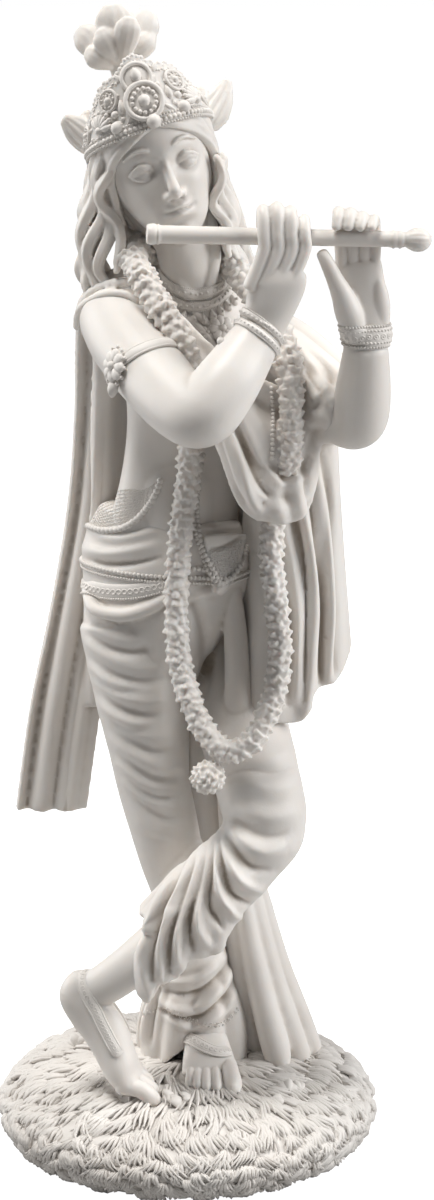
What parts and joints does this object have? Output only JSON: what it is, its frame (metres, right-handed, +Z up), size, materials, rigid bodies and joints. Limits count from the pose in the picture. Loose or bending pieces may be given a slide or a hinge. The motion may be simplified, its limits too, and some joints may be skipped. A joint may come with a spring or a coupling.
{
  "type": "statuette",
  "caption": "White cast-marble figurine of a crowned flute player with crossed legs, long garland and shawl, standing on a round grassy mound",
  "frame": {"origin": "centre of the flat underside of the round mound", "axes": "+Z up, -Y toward the viewer of the picture, +X to that viewer's right, where the flute points"},
  "size_m": [0.0959, 0.0892, 0.2583],
  "materials": {
    "cast_marble": "satin",
    "cast_marble_smooth": "satin"
  },
  "bodies": {
    "root": {"krishna_figure": "cast_marble", "flute": "cast_marble_smooth"}
  },
  "joints": []
}
